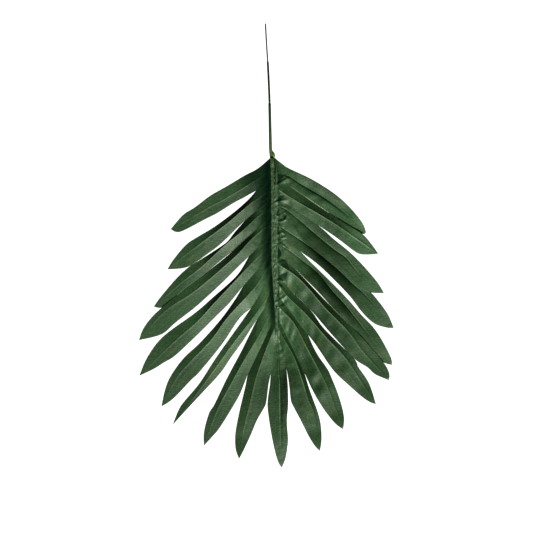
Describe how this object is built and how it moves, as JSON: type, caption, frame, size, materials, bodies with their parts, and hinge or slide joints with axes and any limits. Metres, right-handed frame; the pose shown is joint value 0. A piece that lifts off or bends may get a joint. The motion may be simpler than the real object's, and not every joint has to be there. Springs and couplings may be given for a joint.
{
  "type": "artificial palm leaf",
  "caption": "Artificial palm leaf lying face up: pressed green cloth cut into folded strap-shaped leaflets round a raised midrib, on a moulded stem that ends in a wire.",
  "frame": {"origin": "centre of the bounding box in plan, on the surface the leaf lies on", "axes": "+Y along the stem from the leaf's tip to the wire's free end, +Z out of the leaf's front face, +X to the right with the front face up and the stem pointing away"},
  "size_m": [0.23, 0.4012, 0.0054],
  "materials": {
    "leaf_cloth": "dark green woven cloth, starched and heat pressed, dull with a faint sheen",
    "stem_plastic": "mid green moulded plastic, satin",
    "wire_steel": "bare dull grey steel wire",
    "wire_skin": "very dark green plastic coating, satin",
    "glue": "yellow green set glue, glossy"
  },
  "bodies": {
    "root": {"leaf_blade": "leaf_cloth", "stem_sleeve": "stem_plastic", "stem_wire": "wire_steel", "wire_coating": "wire_skin", "glue_bead": "glue"}
  },
  "joints": []
}
